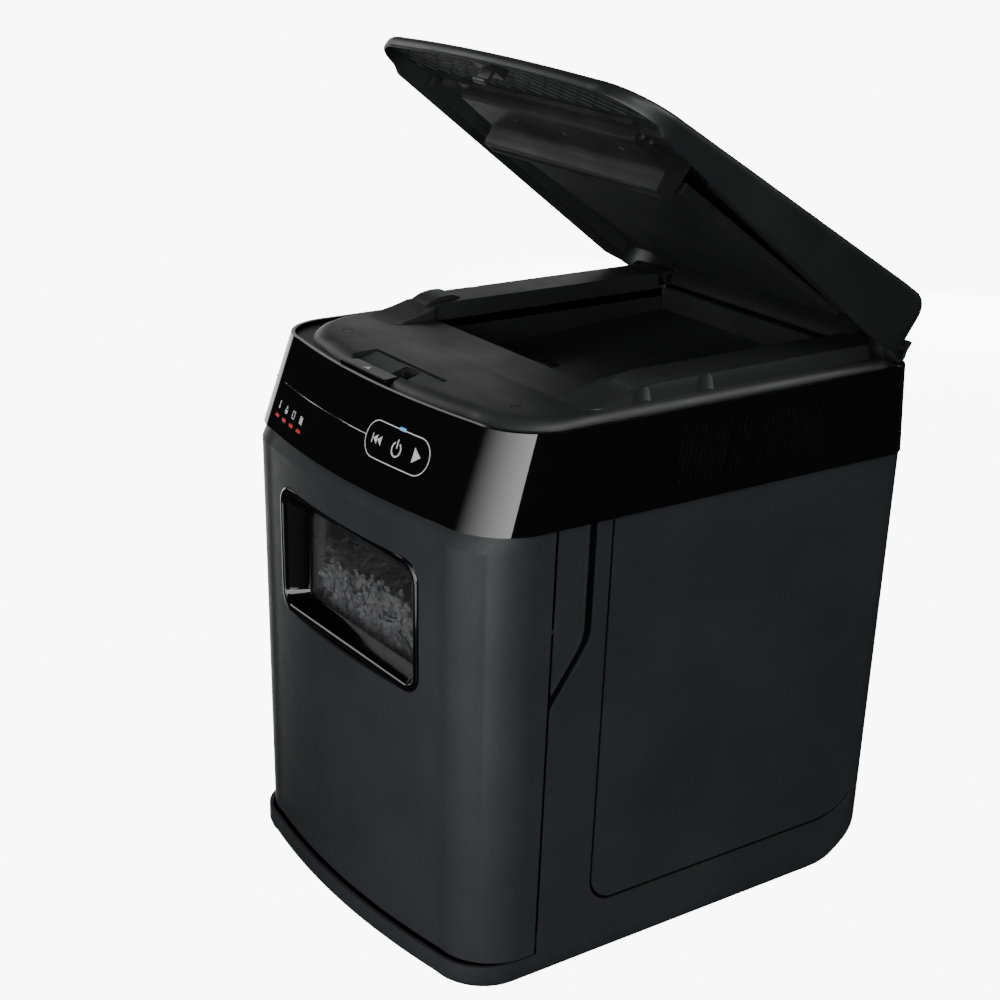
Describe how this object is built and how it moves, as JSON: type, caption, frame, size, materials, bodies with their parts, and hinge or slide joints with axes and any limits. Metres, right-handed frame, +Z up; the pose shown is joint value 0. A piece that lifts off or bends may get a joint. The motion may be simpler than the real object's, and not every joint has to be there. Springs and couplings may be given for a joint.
{
  "type": "paper shredder",
  "caption": "Office paper shredder with an auto-feed tray under a hinged lid, a pull-out bin with a window and a glossy control band.",
  "frame": {"origin": "centre of the footprint of the whole object with its lid open, on the floor", "axes": "+Z up, +Y from the front with the bin window to the back, +X to the right seen from the front"},
  "size_m": [0.38, 0.4804, 0.7489],
  "materials": {
    "satin_plastic": "fine-textured dark satin plastic",
    "gloss_black": "piano-black gloss",
    "matte_black": "fine matte grain",
    "dark_plastic": "moulded dark plastic",
    "rubber": "matte rubber",
    "steel": "ground steel",
    "gear_plastic": "natural nylon",
    "clear_pane": "clear smoked plastic",
    "red_light": "red light pipe",
    "blue_light": "blue light pipe",
    "circuit_board": "green solder mask"
  },
  "bodies": {
    "housing": {"base_tray": "satin_plastic", "side_panel_left": "satin_plastic", "side_panel_right": "satin_plastic", "rear_panel": "satin_plastic", "control_band": "gloss_black", "top_deck": "matte_black", "feed_tray": "matte_black", "throat_guide": "matte_black", "hinge_bracket_left": "matte_black", "hinge_bracket_right": "matte_black", "drawer_rail_left": "dark_plastic", "drawer_rail_right": "dark_plastic", "stripper_front": "dark_plastic", "stripper_rear": "dark_plastic", "gear_guard": "dark_plastic", "interlock_switch": "dark_plastic", "mains_inlet": "dark_plastic", "rocker_bezel": "dark_plastic", "foot_front_left": "rubber", "foot_front_right": "rubber", "foot_back_left": "rubber", "foot_back_right": "rubber", "feed_belt": "rubber", "chassis_plate": "steel", "cutter_frame_left": "steel", "cutter_frame_right": "steel", "tie_rod_front": "steel", "tie_rod_rear": "steel", "motor": "steel", "deck_screw_left": "steel", "deck_screw_right": "steel", "status_light_pipe": "red_light", "power_light": "blue_light", "control_board": "circuit_board", "power_board": "circuit_board"},
    "drawer": {"drawer_front": "satin_plastic", "window_bezel": "gloss_black", "window_pane": "clear_pane", "bin_tub": "dark_plastic"},
    "lid": {"lid_shell": "matte_black", "lid_liner": "matte_black", "manual_feed_chute": "dark_plastic", "lid_catch": "dark_plastic", "lid_hinge_pin_left": "steel", "lid_hinge_pin_right": "steel"},
    "pressure_plate": {"pressure_plate": "dark_plastic"},
    "latch_key": {"latch_key": "gloss_black"},
    "power_rocker": {"power_rocker": "dark_plastic"},
    "front_cutter": {"cutter_front": "steel", "cutter_front_gear": "gear_plastic"},
    "rear_cutter": {"cutter_rear": "steel", "cutter_rear_gear": "gear_plastic", "cutter_rear_pulley": "dark_plastic"},
    "layshaft": {"layshaft_pinion": "gear_plastic", "layshaft_gear": "gear_plastic"},
    "motor_rotor": {"motor_pinion": "steel"},
    "feed_rollers": {"feed_shaft": "steel", "feed_roller_left": "rubber", "feed_roller_right": "rubber", "feed_pulley": "dark_plastic"}
  },
  "joints": [
    {"name": "drawer_slide", "type": "slide", "parent": "housing", "child": "drawer", "axis": [0, -1, 0], "range_m": [0, 0.33]},
    {"name": "lid_hinge", "type": "hinge", "parent": "housing", "child": "lid", "pos_m": [0, 0.21631, 0.499], "axis": [1, 0, 0], "range_deg": [0, 37]},
    {"name": "plate_hinge", "type": "hinge", "parent": "lid", "child": "pressure_plate", "pos_m": [0, 0.19676, 0.52124], "axis": [-1, 0, 0], "range_deg": [0, 3.2], "stiffness_Nm_per_rad": 3, "springref_deg": -8.59},
    {"name": "latch_press", "type": "slide", "parent": "housing", "child": "latch_key", "axis": [0, 0, -1], "range_m": [0, 0.003], "stiffness_N_per_m": 600, "springref_m": -0.004},
    {"name": "rocker_tilt", "type": "hinge", "parent": "housing", "child": "power_rocker", "pos_m": [-0.092, 0.22331, 0.14], "axis": [-1, 0, 0], "range_deg": [0, 16]},
    {"name": "rear_cutter_spin", "type": "hinge", "parent": "housing", "child": "rear_cutter", "pos_m": [0, -0.03209, 0.382], "axis": [1, 0, 0], "continuous": true},
    {"name": "front_cutter_spin", "type": "hinge", "parent": "housing", "child": "front_cutter", "pos_m": [0, -0.07529, 0.382], "axis": [1, 0, 0], "continuous": true},
    {"name": "layshaft_spin", "type": "hinge", "parent": "housing", "child": "layshaft", "pos_m": [0, 0.00391, 0.382], "axis": [1, 0, 0], "continuous": true},
    {"name": "motor_spin", "type": "hinge", "parent": "housing", "child": "motor_rotor", "pos_m": [0, 0.04191, 0.382], "axis": [1, 0, 0], "continuous": true},
    {"name": "feed_spin", "type": "hinge", "parent": "housing", "child": "feed_rollers", "pos_m": [0, 0.00531, 0.445], "axis": [1, 0, 0], "continuous": true}
  ],
  "couplings": [
    {"joint": "front_cutter_spin", "follows": "rear_cutter_spin", "ratio": -1},
    {"joint": "layshaft_spin", "follows": "rear_cutter_spin", "ratio": -1.5},
    {"joint": "motor_spin", "follows": "rear_cutter_spin", "ratio": 5.625},
    {"joint": "feed_spin", "follows": "rear_cutter_spin", "ratio": 1}
  ]
}
